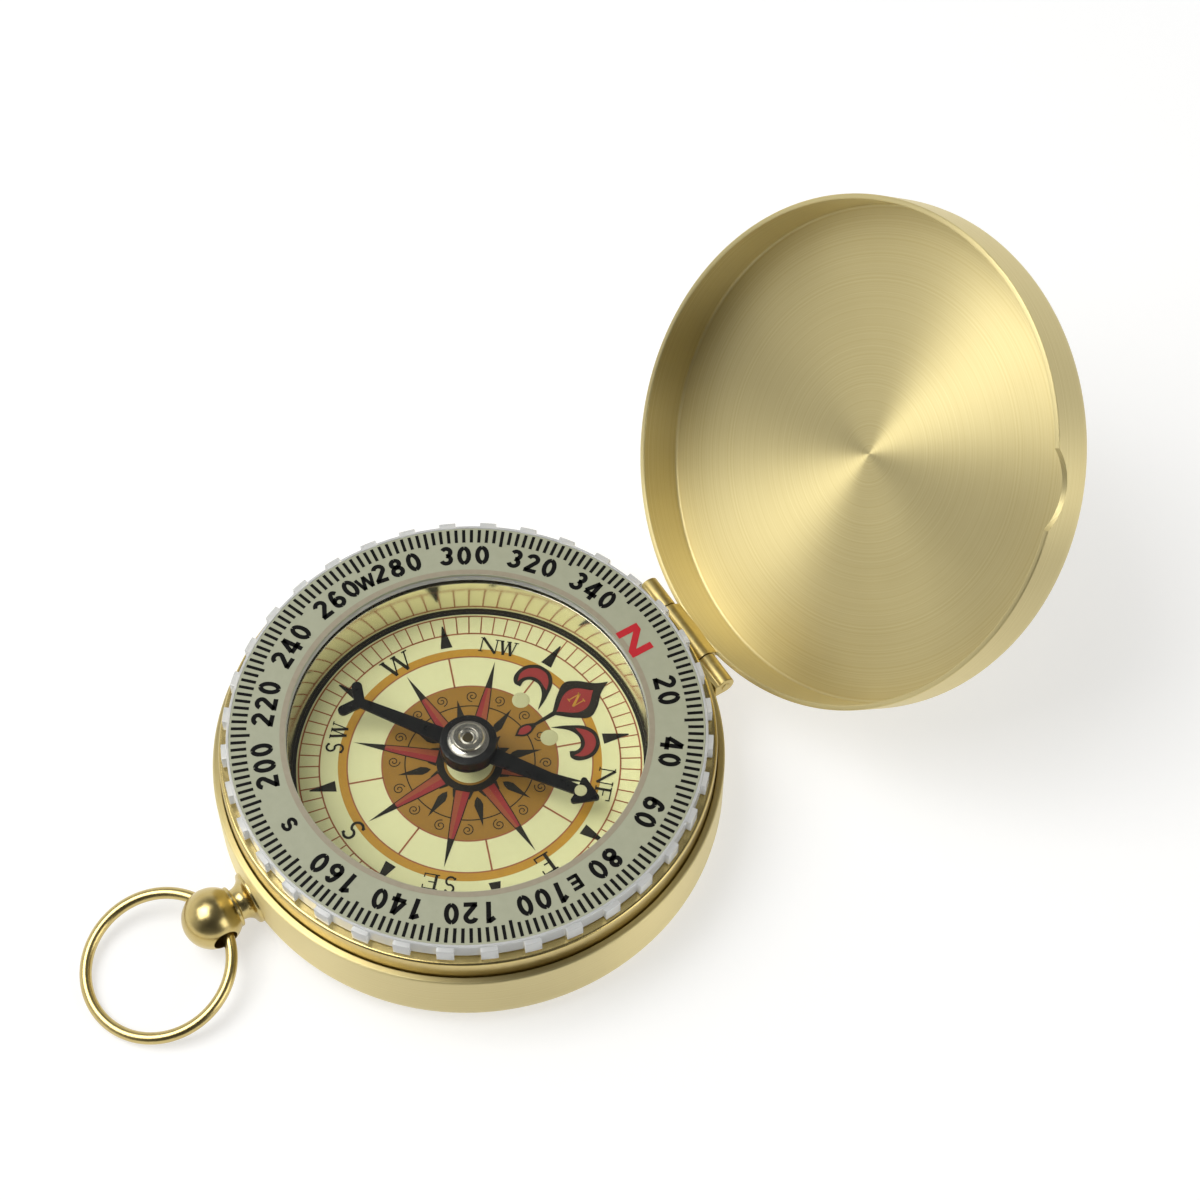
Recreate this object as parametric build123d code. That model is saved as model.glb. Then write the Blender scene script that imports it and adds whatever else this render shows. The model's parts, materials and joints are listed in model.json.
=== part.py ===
from build123d import *
from math import asin, atan2, cos, hypot, radians, sin, sqrt
import os

# A brass pocket compass: a round case, a hinged lid, a turning bezel, a printed dial and a needle.
# Millimetres, +Z up. The origin is the centre of the case's base, with the hinge on the +Y side and
# the pendant with its ring on the -Y side. The lid is modelled shut and then swung open.

# Fits
press_gap = 0.02        # pieces that are pressed or cemented together
pin_gap = 0.05          # hinge pin in the lid's knuckle
side_gap = 0.1          # between neighbouring hinge knuckles
bezel_gap = 0.08        # turning bezel on the housing

# Case
case_radius = 25.0
case_height = 9.0       # base to the ledge under the shut lid
case_wall = 0.7
case_floor = 0.8
case_corner = 3.2       # outside round between base and wall

# Collar: the ring above the ledge
collar_rise = 2.4
collar_wall = 0.6
collar_flange = 0.7     # thickness of the inward flange
collar_edge = 0.3
collar_band = 1.0       # height of the pressed band at its foot

# Lid
lid_inset = 0.1         # lid wall stands this far inside the case wall
lid_wall = 0.55
lid_top = 0.9
lid_headroom = 0.95     # bezel to the shut lid's inside
lid_corner = 1.9
lid_crease = 0.3
lid_slip = 0.15         # radial play on the collar
lid_seat_gap = 0.1      # shut rim above the ledge
lid_open_angle = 129.5
nail_notch_bearing = -36.0
nail_notch_length = 7.6
nail_notch_depth = 1.7

# Hinge
hinge_standoff = 0.4    # axis outside the case wall
knuckle_radius = 1.0
knuckle_proud = 0.2     # knuckle's top above the ledge
knuckle_length = 3.6    # each of the two on the case
tongue_width = 6.8      # the one on the lid
tongue_air = 0.2        # room under the lid's knuckle in the case wall
pin_radius = 0.45
pin_stub = 0.08         # pin end past the knuckle
heel_width = 3.0        # stop heel on the lid's knuckle
heel_drop = 1.7         # heel's end below the hinge axis, lid open
heel_gap = 0.06         # heel to the case wall, lid open

# Pendant and its ring
pendant_height = 3.5
flare_radius = 2.65
flare_length = 1.2
flare_stand = 0.2       # flare's rim proud of the case's outline
flare_round = 0.3
neck_radius = 1.6
neck_length = 0.2
shoulder_radius = 2.1
ball_radius = 3.0
ball_sink = 2.5         # ball centre past the neck's outer end
bow_radius = 7.25       # centre line of the ring
bow_wire = 1.18
bow_yaw = 8.0
bow_slack = 0.5         # wire rests this far off the hole's axis
bow_lift = 0.05         # lowest wire above the base plane
bow_play = 0.16         # wire to the side of its hole
screw_radius = 0.7
screw_head_radius = 1.2
screw_head_height = 0.6
screw_air = 0.9         # between the screw head and the collar's foot
screw_bite = 2.2        # length held in the pendant

# Bezel
bezel_setback = 0.95    # rim inside the collar's neck
bezel_band = 5.75       # radial width, rim to window
bezel_plate = 0.55
bezel_lip_width = 0.25
bezel_lip = 0.05        # rim above the scale
bezel_skirt = 1.02      # radial width of the skirt
bezel_overhang = 0.85   # rim outside the skirt
bezel_air = 0.15        # free height over the crystal and the collar
scale_thickness = 0.35
tooth_count = 36
tooth_reach = 0.5
tooth_angle = 4.0
tooth_offset = 4.0      # first tooth from +Y, anticlockwise
tooth_drop = 0.15       # tooth top below the rim
tooth_bevel = 0.12
snap_wire = 0.5
snap_mouth = 16.0       # gap of the split ring, degrees

# Housing, crystal and dial
housing_gap = 0.2       # housing inside the collar
housing_skirt = 1.2
housing_foot = 1.8      # radial width of the ring that stands on the case floor
housing_floor = 1.0
housing_web = 1.0       # thickness under the bezel
skirt_floor_gap = 2.7   # skirt's end above the case floor
dial_wall = 0.65        # window to the housing's inner wall
crystal_seat_width = 0.55
crystal_seat_rise = 0.75
crystal_thickness = 0.8
crystal_bevel = 0.15
dial_depth = 5.4        # card to crystal
plate_thickness = 0.5
card_thickness = 0.2
dial_ring_wall = 0.68
card_turn = 1.7         # card's north from +Y, anticlockwise
lume_dot_radius = 0.88
lume_dot_spread = 5.15
lume_dot_shift = -0.53  # middle of the pair, along the card's east
lume_dot_reach = 8.0
lume_dot_height = 0.08

# Pivot
post_radius = 1.0
post_head_radius = 1.6
post_head_height = 0.4
post_tip_radius = 0.5
post_rise = 2.6         # card to the post's top
pivot_radius = 0.3
pivot_sink = 1.4        # pin held in the post
pivot_point = 0.9       # length of the ground point
pivot_play = 0.05       # point below the jewel's cup

# Needle
needle_heading = 33.3   # needle's head from +X, anticlockwise
needle_thickness = 0.3
needle_tip_air = 3.25   # head's sharp corner to the dial ring
needle_tail_air = 5.55  # fork of the tail to the dial ring
head_length = 2.75
head_half_width = 1.8
head_notch = 0.2        # back of the head, drawn in towards the shaft
head_round = 0.3
shaft_end_half = 0.48
shaft_hub_half = 0.95
tail_lobe_length = 1.8  # fork to the centre of the lobe's round end
tail_lobe_width = 1.06
tail_lobe_angle = 54.0
pointer_disc_radius = 2.85
magnet_radius = 2.8
magnet_height = 1.2
magnet_bevel = 0.12
hub_air = 0.15          # hub top to the crystal
hub_rise = 0.65         # hub above the magnet
hub_radius = 2.05
hub_foot = 0.08         # edge of the flared skirt
hub_top_radius = 1.48
hub_brim = 0.14         # thickness of the brim round the hub's top
hub_neck_radius = 1.3
hub_dish_radius = 0.96
hub_dish = 0.12
hub_sleeve_radius = 1.1
hub_sleeve_drop = 0.3
jewel_radius = 0.72
jewel_window_radius = 0.5
jewel_height = 0.5
needle_dot_radius = 0.6
needle_dot_height = 0.06
needle_dot_setback = 2.2  # dot behind the head's sharp corner

# Cutting tools run past what they cut
overrun = 1.0

# Radii worked out from the case inwards
case_bore = case_radius - case_wall
lid_radius = case_radius - lid_inset
lid_bore = lid_radius - lid_wall
collar_radius = lid_bore - lid_slip
collar_bore = collar_radius - collar_wall
housing_radius = collar_bore - housing_gap
bezel_radius = collar_radius - bezel_setback
window_radius = bezel_radius - bezel_band
scale_radius = bezel_radius - bezel_lip_width
dial_bore = window_radius + dial_wall
crystal_radius = dial_bore + crystal_seat_width
skirt_radius = bezel_radius - bezel_overhang
skirt_bore = skirt_radius - bezel_skirt
journal_radius = skirt_bore - bezel_gap
flange_bore = skirt_radius + housing_gap
dial_ring_radius = dial_bore - press_gap
dial_ring_bore = dial_ring_radius - dial_ring_wall
card_radius = dial_ring_bore - press_gap
snap_radius = journal_radius + bezel_gap / 2
groove_half = snap_wire / 2 + pin_gap
needle_tip = dial_ring_bore - needle_tip_air
needle_fork = dial_ring_bore - needle_tail_air
post_hole = post_radius + press_gap

# Heights worked out from the ledge
rim_z = case_height + lid_seat_gap
hinge_y = case_radius + hinge_standoff
hinge_z = case_height + knuckle_proud - knuckle_radius
collar_top = case_height + collar_rise
collar_foot = pendant_height + screw_head_radius + screw_air
shoulder_z = collar_top - collar_flange
crystal_seat = shoulder_z + crystal_seat_rise
crystal_top = crystal_seat + crystal_thickness
bezel_under = crystal_top + bezel_air
scale_seat = bezel_under + bezel_plate
scale_top = scale_seat + scale_thickness
bezel_top = scale_top + bezel_lip
lid_ceiling = bezel_top + lid_headroom
rim_under = collar_top + bezel_air
card_top = crystal_seat - dial_depth
card_under = card_top - card_thickness
plate_under = card_under - plate_thickness
floor_under = plate_under - housing_floor
hub_top = crystal_seat - hub_air
magnet_top = hub_top - hub_rise
needle_top = magnet_top - magnet_height
needle_under = needle_top - needle_thickness
post_top = card_top + post_rise
snap_z = (rim_under + crystal_top) / 2
jewel_top = hub_top - 2 * hub_dish
jewel_under = jewel_top - jewel_height
cup_apex = jewel_under + jewel_height / 2
pin_tip = cup_apex - pivot_play

# Places of the hinge and pendant
HINGE_AXIS = Axis((0, hinge_y, hinge_z), (1, 0, 0))
neck_end = case_radius + flare_stand + flare_length + neck_length
ball_centre = Vector(0, -(neck_end + ball_sink), pendant_height)


def turned(*corners):
    """Solid turned about Z from corners (radius, height) or (radius, height, round)."""
    points = [corner[:2] for corner in corners]
    rounds = [corner[2] if len(corner) > 2 else 0 for corner in corners]
    outline = FilletPolyline(*points, radius=rounds, close=True)
    return revolve(Plane.XZ * make_face(outline), Axis.Z)


def rod_x(radius, length, y=0, z=0):
    return Pos(0, y, z) * Rot(0, 90, 0) * Cylinder(radius, length)


def rod_y(radius, start, end, z):
    return Pos(0, (start + end) / 2, z) * Rot(90, 0, 0) * Cylinder(radius, abs(end - start))


def block(x_range, y_range, z_range):
    spans = (x_range, y_range, z_range)
    middle = [sum(span) / 2 for span in spans]
    return Pos(*middle) * Box(*[span[1] - span[0] for span in spans])


def case_envelope():
    """The case's outer shape, filled."""
    return turned((0, 0), (case_radius, 0, case_corner), (case_radius, case_height), (0, case_height))


def case_cavity():
    inner_round = case_corner - case_wall
    return turned(
        (0, case_floor),
        (case_bore, case_floor, inner_round),
        (case_bore, case_height),
        (0, case_height),
    )


def make_case_cup():
    half = tongue_width / 2 + side_gap
    notch_foot = hinge_z - knuckle_radius - tongue_air
    notch = block((-half, half), (case_bore - overrun, case_radius + overrun), (notch_foot, case_height))
    screw_hole = rod_y(screw_radius + press_gap, -case_radius, -case_bore + overrun, pendant_height)
    return case_envelope() - case_cavity() - notch - screw_hole


def make_case_collar():
    band_radius = case_bore - press_gap
    band_top = collar_foot + collar_band
    return turned(
        (collar_bore, collar_foot),
        (band_radius, collar_foot),
        (band_radius, band_top),
        (collar_radius, band_top),
        (collar_radius, collar_top, collar_edge),
        (flange_bore, collar_top, collar_edge),
        (flange_bore, shoulder_z),
        (collar_bore, shoulder_z),
    )


def make_case_hinge_knuckles():
    start = tongue_width / 2 + side_gap
    middle = start + knuckle_length / 2
    foot_top = case_height - side_gap
    tube = Pos(middle, 0, 0) * rod_x(knuckle_radius, knuckle_length, hinge_y, hinge_z)
    foot = block(
        (start, start + knuckle_length),
        (case_bore - overrun, hinge_y),
        (hinge_z - knuckle_radius, foot_top),
    )
    bore = Pos(middle, 0, 0) * rod_x(pin_radius + press_gap, knuckle_length + overrun, hinge_y, hinge_z)
    knuckle = tube + foot - case_envelope() - bore
    return Compound([knuckle.solid(), mirror(knuckle, Plane.YZ).solid()])


def make_hinge_pin():
    length = 2 * (tongue_width / 2 + side_gap + knuckle_length + pin_stub)
    pin = rod_x(pin_radius, length, hinge_y, hinge_z)
    return chamfer(pin.edges().filter_by(GeomType.CIRCLE), pin_stub)


def make_lid_shell():
    top = lid_ceiling + lid_top
    shell = turned(
        (0, lid_ceiling),
        (lid_bore, lid_ceiling, lid_crease),
        (lid_bore, rim_z),
        (lid_radius, rim_z),
        (lid_radius, top, lid_corner),
        (0, top),
    )
    notch_radius = (nail_notch_length**2 / 4 + nail_notch_depth**2) / (2 * nail_notch_depth)
    notch_z = rim_z + nail_notch_depth - notch_radius
    notch = Pos(lid_bore, 0, notch_z) * Rot(0, 90, 0) * Cylinder(notch_radius, lid_wall + 2 * overrun)
    shell -= Rot(0, 0, nail_notch_bearing) * notch

    half = tongue_width / 2
    tongue_top = rim_z + lid_wall
    tongue_length = tongue_top - hinge_z
    sleeve = Cylinder(lid_radius, tongue_length) - Cylinder(lid_bore, tongue_length)
    tongue = Pos(0, 0, hinge_z + tongue_length / 2) * sleeve
    tongue &= block((-half, half), (0, lid_radius), (hinge_z, tongue_top))
    shell += tongue + rod_x(knuckle_radius, tongue_width, hinge_y, hinge_z)
    shell = shell.rotate(HINGE_AXIS, -lid_open_angle)

    heel_y = case_radius + heel_gap
    heel = block((-heel_width / 2, heel_width / 2), (heel_y, hinge_y), (hinge_z - heel_drop, hinge_z))
    return shell + heel - rod_x(pin_radius + pin_gap, tongue_width + overrun, hinge_y, hinge_z)


def make_pendant_stem():
    neck_start = neck_end - neck_length
    flare_start = neck_start - flare_length
    inner_end = case_radius - case_corner - case_wall
    shoulder_end = neck_end + ball_sink - sqrt(ball_radius**2 - shoulder_radius**2)
    ball_end = neck_end + ball_sink + ball_radius
    outline = [
        TangentArc((neck_radius, -neck_start), (flare_radius, -flare_start), tangent=(0, 1)),
        Polyline((flare_radius, -flare_start), (flare_radius, -inner_end), (0, -inner_end), (0, -ball_end)),
        ThreePointArc((0, -ball_end), (ball_radius, ball_centre.Y), (shoulder_radius, -shoulder_end)),
        Polyline((shoulder_radius, -shoulder_end), (shoulder_radius, -neck_end),
                 (neck_radius, -neck_end), (neck_radius, -neck_start)),
    ]
    section = make_face(outline)
    rim = section.vertices().group_by(Axis.X)[-1].sort_by(Axis.Y)[0]
    stem = Pos(0, 0, pendant_height) * revolve(fillet(rim, flare_round), Axis.Y)
    hole_radius = bow_slack + bow_wire / 2 + bow_play
    hole = rod_x(hole_radius, 2 * (ball_radius + overrun), ball_centre.Y, ball_centre.Z)
    screw_end = case_radius + screw_bite + press_gap
    screw_bore = rod_y(screw_radius + press_gap, -inner_end, -screw_end, pendant_height)
    return stem - hole - case_envelope() - screw_bore


def make_pendant_screw():
    head_end = case_bore - screw_head_height
    head = rod_y(screw_head_radius, -case_radius, -head_end, pendant_height) & case_cavity()
    return head + rod_y(screw_radius, -head_end, -case_radius - screw_bite, pendant_height)


def make_bow_ring():
    reach = 2 * bow_radius - bow_slack
    wire_radius = bow_wire / 2
    drop = asin((pendant_height - bow_lift) / hypot(reach, wire_radius)) - atan2(wire_radius, reach)
    yaw = radians(bow_yaw)
    across = Vector(cos(yaw), sin(yaw), 0)
    outward = Vector(sin(yaw) * cos(drop), -cos(yaw) * cos(drop), -sin(drop))
    centre = ball_centre + outward * (bow_radius - bow_slack)
    return Plane(origin=centre, x_dir=across, z_dir=across.cross(outward)) * Torus(bow_radius, wire_radius)


def make_dial_housing():
    foot_bore = dial_bore - dial_wall
    foot_radius = foot_bore + housing_foot
    skirt_in = housing_radius - housing_skirt
    web_under = shoulder_z - housing_web
    groove_radius = snap_radius - groove_half
    return turned(
        (post_hole, floor_under),
        (foot_bore, floor_under),
        (foot_bore, case_floor),
        (foot_radius, case_floor),
        (foot_radius, web_under),
        (skirt_in, web_under),
        (skirt_in, case_floor + skirt_floor_gap),
        (housing_radius, case_floor + skirt_floor_gap),
        (housing_radius, shoulder_z),
        (journal_radius, shoulder_z),
        (journal_radius, snap_z - groove_half),
        (groove_radius, snap_z - groove_half),
        (groove_radius, snap_z + groove_half),
        (journal_radius, snap_z + groove_half),
        (journal_radius, crystal_top),
        (crystal_radius + press_gap, crystal_top),
        (crystal_radius + press_gap, crystal_seat),
        (dial_bore, crystal_seat),
        (dial_bore, plate_under),
        (post_hole, plate_under),
    )


def make_bezel_snap_ring():
    wire = Pos(snap_radius, 0, snap_z) * Rot(90, 0, 0) * Circle(snap_wire / 2)
    ring = revolve(wire, Axis.Z, revolution_arc=360 - snap_mouth)
    return Rot(0, 0, snap_mouth / 2) * ring


def make_crystal():
    return turned(
        (0, crystal_seat),
        (crystal_radius, crystal_seat),
        (crystal_radius, crystal_top - crystal_bevel),
        (crystal_radius - crystal_bevel, crystal_top),
        (0, crystal_top),
    )


def make_bezel_ring():
    groove_radius = snap_radius + groove_half + bezel_gap
    body = turned(
        (window_radius, bezel_under),
        (skirt_bore, bezel_under),
        (skirt_bore, snap_z + groove_half),
        (groove_radius, snap_z + groove_half),
        (groove_radius, snap_z - groove_half),
        (skirt_bore, snap_z - groove_half),
        (skirt_bore, shoulder_z + bezel_air),
        (skirt_radius, shoulder_z + bezel_air),
        (skirt_radius, rim_under),
        (bezel_radius, rim_under),
        (bezel_radius, bezel_top),
        (scale_radius, bezel_top),
        (scale_radius, scale_seat),
        (window_radius, scale_seat),
    )
    tooth_width = 2 * (bezel_radius + tooth_reach) * sin(radians(tooth_angle / 2))
    tooth = block(
        (-tooth_width / 2, tooth_width / 2),
        (bezel_radius - bezel_lip_width / 2, bezel_radius + tooth_reach),
        (rim_under, bezel_top - tooth_drop),
    )
    outer_edges = tooth.faces().sort_by(Axis.Y)[-1].edges()
    tooth = chamfer(outer_edges, tooth_bevel)
    teeth = [Rot(0, 0, tooth_offset + index * 360 / tooth_count) * tooth for index in range(tooth_count)]
    return body + teeth


def make_bezel_scale():
    return turned(
        (window_radius, scale_seat),
        (scale_radius - press_gap, scale_seat),
        (scale_radius - press_gap, scale_top),
        (window_radius, scale_top),
    )


def make_dial_plate():
    radius = dial_bore - press_gap
    return turned(
        (post_hole, plate_under),
        (radius, plate_under),
        (radius, card_under),
        (post_hole, card_under),
    )


def make_dial_card():
    return turned(
        (post_hole, card_under),
        (card_radius, card_under),
        (card_radius, card_top),
        (post_hole, card_top),
    )


def make_dial_ring():
    return turned(
        (dial_ring_bore, card_under),
        (dial_ring_radius, card_under),
        (dial_ring_radius, crystal_seat),
        (dial_ring_bore, crystal_seat),
    )


def make_north_lume_dots():
    dots = []
    for side in (-1, 1):
        across = lume_dot_shift + side * lume_dot_spread / 2
        place = Pos(across, lume_dot_reach, card_top + lume_dot_height / 2)
        dot = Rot(0, 0, card_turn) * place * Cylinder(lume_dot_radius, lume_dot_height)
        dots.append(dot.solid())
    return Compound(dots)


def make_pivot_post():
    bore = pivot_radius + press_gap
    bore_floor = post_top - pivot_sink - press_gap
    return turned(
        (0, floor_under - post_head_height),
        (post_head_radius, floor_under - post_head_height),
        (post_head_radius, floor_under),
        (post_radius, floor_under),
        (post_radius, card_top),
        (post_tip_radius, post_top),
        (bore, post_top),
        (bore, bore_floor),
        (0, bore_floor),
    )


def make_pivot_pin():
    return turned(
        (0, post_top - pivot_sink),
        (pivot_radius, post_top - pivot_sink),
        (pivot_radius, pin_tip - pivot_point),
        (0, pin_tip),
    )


def make_compass_needle():
    barb = needle_tip - head_length
    head = make_face(Polyline((needle_tip, 0), (barb, head_half_width), (barb + head_notch, 0),
                              (barb, -head_half_width), close=True))
    corners = head.vertices().sort_by(Axis.X)
    head = fillet([*corners[:2], corners[-1]], head_round)
    upper_edge = [
        (barb + head_length / 2, shaft_end_half),
        (0, shaft_hub_half),
        (-needle_fork, shaft_end_half),
    ]
    lower_edge = [(x, -y) for x, y in reversed(upper_edge)]
    outline = head + make_face(Polyline(*upper_edge, *lower_edge, close=True)) + Circle(pointer_disc_radius)
    lobe = Pos(tail_lobe_length / 2, 0) * SlotCenterToCenter(tail_lobe_length, tail_lobe_width)
    for side in (-1, 1):
        outline += Pos(-needle_fork, 0) * Rot(0, 0, 180 + side * tail_lobe_angle) * lobe
    outline -= Circle(hub_sleeve_radius + press_gap)
    return Pos(0, 0, needle_under) * Rot(0, 0, needle_heading) * extrude(outline, needle_thickness)


def make_needle_magnet():
    bore = hub_sleeve_radius + press_gap
    return turned(
        (bore, needle_top),
        (magnet_radius, needle_top),
        (magnet_radius, magnet_top, magnet_bevel),
        (bore, magnet_top),
    )


def make_needle_hub():
    """Bearing cap: a sleeve through magnet and pointer, and a flared skirt under a flat brim."""
    jewel_bore = jewel_radius + press_gap
    brim_under = hub_top - hub_brim
    foot_top = magnet_top + hub_foot
    outline = [
        Polyline((hub_sleeve_radius, magnet_top), (hub_sleeve_radius, needle_under - hub_sleeve_drop),
                 (jewel_bore, needle_under - hub_sleeve_drop), (jewel_bore, jewel_top),
                 (jewel_window_radius, jewel_top), (jewel_window_radius, hub_top - hub_dish),
                 (hub_dish_radius, hub_top - hub_dish), (hub_dish_radius, hub_top), (hub_top_radius, hub_top),
                 (hub_top_radius, brim_under), (hub_neck_radius, brim_under)),
        TangentArc((hub_radius, foot_top), (hub_neck_radius, brim_under), tangent=(-1, 0)),
        Polyline((hub_radius, foot_top), (hub_radius, magnet_top), (hub_sleeve_radius, magnet_top)),
    ]
    return revolve(Plane.XZ * make_face(outline), Axis.Z)


def make_needle_jewel():
    """Bearing stone with a conical cup underneath."""
    return turned(
        (0, cup_apex),
        (jewel_window_radius, jewel_under),
        (jewel_radius, jewel_under),
        (jewel_radius, jewel_top),
        (0, jewel_top),
    )


def make_needle_lume_dot():
    place = Pos(needle_tip - needle_dot_setback, 0, needle_top + needle_dot_height / 2)
    return Rot(0, 0, needle_heading) * place * Cylinder(needle_dot_radius, needle_dot_height)


PIECES = {
    "case_cup": make_case_cup,
    "case_collar": make_case_collar,
    "case_hinge_knuckles": make_case_hinge_knuckles,
    "hinge_pin": make_hinge_pin,
    "lid_shell": make_lid_shell,
    "pendant_stem": make_pendant_stem,
    "pendant_screw": make_pendant_screw,
    "bow_ring": make_bow_ring,
    "dial_housing": make_dial_housing,
    "bezel_snap_ring": make_bezel_snap_ring,
    "crystal": make_crystal,
    "bezel_ring": make_bezel_ring,
    "bezel_scale": make_bezel_scale,
    "dial_plate": make_dial_plate,
    "dial_card": make_dial_card,
    "dial_ring": make_dial_ring,
    "north_lume_dots": make_north_lume_dots,
    "pivot_post": make_pivot_post,
    "pivot_pin": make_pivot_pin,
    "compass_needle": make_compass_needle,
    "needle_magnet": make_needle_magnet,
    "needle_hub": make_needle_hub,
    "needle_jewel": make_needle_jewel,
    "needle_lume_dot": make_needle_lume_dot,
}

os.makedirs("parts", exist_ok=True)
for name, make in PIECES.items():
    export_step(make(), f"parts/{name}.step")
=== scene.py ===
"""Looks of a brass pocket compass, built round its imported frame. Metres, +Z up, sizes given in mm."""
import json
import math

import bpy
from mathutils import Matrix, Vector

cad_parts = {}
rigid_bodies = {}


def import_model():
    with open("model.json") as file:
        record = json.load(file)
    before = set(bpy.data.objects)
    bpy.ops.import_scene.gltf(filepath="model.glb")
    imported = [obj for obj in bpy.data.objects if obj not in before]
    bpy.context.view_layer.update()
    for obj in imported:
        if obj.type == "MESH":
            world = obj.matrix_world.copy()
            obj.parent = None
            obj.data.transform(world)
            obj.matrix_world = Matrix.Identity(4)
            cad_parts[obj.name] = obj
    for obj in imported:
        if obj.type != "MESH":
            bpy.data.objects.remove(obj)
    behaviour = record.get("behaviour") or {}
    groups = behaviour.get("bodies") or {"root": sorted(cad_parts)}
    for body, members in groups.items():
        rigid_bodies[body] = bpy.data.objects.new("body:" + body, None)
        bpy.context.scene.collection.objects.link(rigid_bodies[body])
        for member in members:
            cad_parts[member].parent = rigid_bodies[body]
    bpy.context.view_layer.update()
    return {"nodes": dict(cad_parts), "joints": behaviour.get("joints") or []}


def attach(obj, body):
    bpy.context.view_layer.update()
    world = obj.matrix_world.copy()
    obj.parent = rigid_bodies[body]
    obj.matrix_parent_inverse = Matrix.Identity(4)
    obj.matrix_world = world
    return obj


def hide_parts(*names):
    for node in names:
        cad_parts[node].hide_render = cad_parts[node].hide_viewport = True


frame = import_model()

mm = 0.001
turn_steps = 192        # facets round a turned piece
small_steps = 96        # facets round a small turned piece
corner_steps = 7        # facets in a rounded corner
sharp_angle = 35        # degrees past which an edge is drawn sharp
merge_distance = 1e-7
ink = 0.012             # thickness of one printed layer
press_gap = 0.02

# Case, collar and lid
case_radius, case_height, case_wall, case_floor, case_corner = 25.0, 9.0, 0.7, 0.8, 3.2
case_bore = case_radius - case_wall
ledge_round, lip_round = 0.22, 0.1
notch_gap, notch_drop, notch_inner, notch_outer = 0.1, 0.2, 23.3, 26.0
collar_foot, collar_shoulder, collar_top = 5.6, 10.7, 11.4
collar_radius, collar_bore, collar_mouth = 24.2, 23.6, 22.6
collar_band_radius, collar_band_top = 24.28, 6.6
collar_round, collar_edge, band_round, band_crease = 0.3, 0.08, 0.04, 0.02
lid_radius, lid_bore, lid_rim, lid_ceiling, lid_top = 24.9, 24.35, 9.1, 14.3, 15.2
lid_corner, lid_crease, rim_round = 1.9, 0.25, 0.16
nail_bearing, nail_length, nail_depth, nail_cut = -36.0, 7.6, 1.7, 2.6

# Hinge
hinge_y, hinge_z = 25.4, 8.2
knuckle_radius, knuckle_start, knuckle_end, knuckle_round = 1.0, 3.5, 7.1, 0.14
knuckle_foot_top, knuckle_root = 8.9, 24.2
tongue_half, tongue_top, tongue_round = 3.4, 9.65, 0.08
pin_bore, sleeve_bore, pin_cut = 0.47, 0.5, 12.0
heel_half, heel_y, heel_foot, heel_lap, heel_round = 1.5, 25.06, 6.5, 0.6, 0.06

# Pendant and ring
pendant_z, foot_start = 3.5, 21.1
flare_start, flare_radius, flare_edge = 25.2, 2.65, 0.3
neck_start, neck_end, neck_radius, neck_crease = 26.4, 26.6, 1.6, 0.12
shoulder_radius, shoulder_rise, shoulder_round = 2.1, 0.36, 0.14
ball_reach, ball_radius, ball_hole, ball_cut, hole_round = 29.1, 3.0, 1.25, 8.0, 0.12
bow_radius, bow_wire_radius = 7.25, 0.59
bow_centre = Vector((0.919, -35.642, 2.115))
bow_yaw = math.radians(8)
bow_across = Vector((math.cos(bow_yaw), math.sin(bow_yaw), 0))
bow_outward = Vector((0.1362, -0.9692, -0.2052))

# Bezel and crystal
window_radius, scale_radius, bezel_radius = 17.5, 23.0, 23.25
skirt_radius, skirt_bore, skirt_foot = 22.4, 21.38, 10.85
rim_under, plate_under, scale_seat, scale_top, bezel_top = 11.55, 12.3, 12.95, 13.3, 13.35
groove_radius, groove_low, groove_high = 21.72, 11.6, 12.2
tooth_top, tooth_reach, tooth_pitch, tooth_first, tooth_half = 13.2, 0.5, 10.0, 94.0, 2.0
bezel_steps, bezel_round, scale_edge = 360, 0.14, 0.05
crystal_radius, crystal_under, crystal_top, crystal_bevel, crystal_round = 18.7, 11.45, 12.25, 0.15, 0.03

# Dial
dial_ring_bore, dial_ring_radius, ring_foot_round, ring_top_round = 17.45, 18.13, 0.02, 0.06
card_bore, card_radius, card_under, card_top, card_edge = 1.02, 17.43, 5.85, 6.05, 0.04
card_turn = math.radians(1.7)
lume_places = ((-3.105, 8.0), (2.045, 8.0))
lume_radius, lume_side, lume_shoulder, lume_height, lume_inset = 0.88, 0.04, 0.065, 0.08, 0.05

# Needle bearing
magnet_bore, magnet_radius, magnet_edge = 1.12, 2.8, 0.12
magnet_foot, magnet_top, hub_top = 9.45, 10.65, 11.3
hub_sleeve, hub_radius, hub_neck, hub_brim, hub_dish = 1.1, 2.05, 1.3, 1.48, 0.96
hub_foot_top, hub_brim_under, sleeve_foot = magnet_top + 0.08, hub_top - 0.14, 8.85
sleeve_round, bead_round, brim_round, brim_edge = 0.05, 0.03, 0.06, 0.05
bead_radius, bead_top, dish_foot, dish_floor = 0.6, hub_top - 0.13, 0.78, hub_top - 0.16
dish_top, window_top = hub_top - 0.02, hub_top - 0.2
jewel_bore, jewel_window, jewel_top = 0.74, 0.5, hub_top - 0.24

hinge_joint = next(joint for joint in frame["joints"] if joint["name"] == "lid_hinge")
hinge = Matrix.Translation(hinge_joint["pos_m"])
swing = Matrix.Rotation(-math.radians(hinge_joint["range_deg"][1]), 4, "X")
lid_open = hinge @ swing @ hinge.inverted()
card_place = Matrix.Rotation(card_turn, 4, "Z")
sideways = Matrix.Rotation(math.pi / 2, 4, "Y")
# Turns a plate drawn flat so that its outline lies in the YZ plane and its depth runs along X
upright = Matrix(((0, 0, 1, 0), (1, 0, 0, 0), (0, 1, 0, 0), (0, 0, 0, 1)))

# Colour sockets of a Mix node
mix_dark, mix_light, mix_result = 6, 7, 2


# Materials

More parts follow.
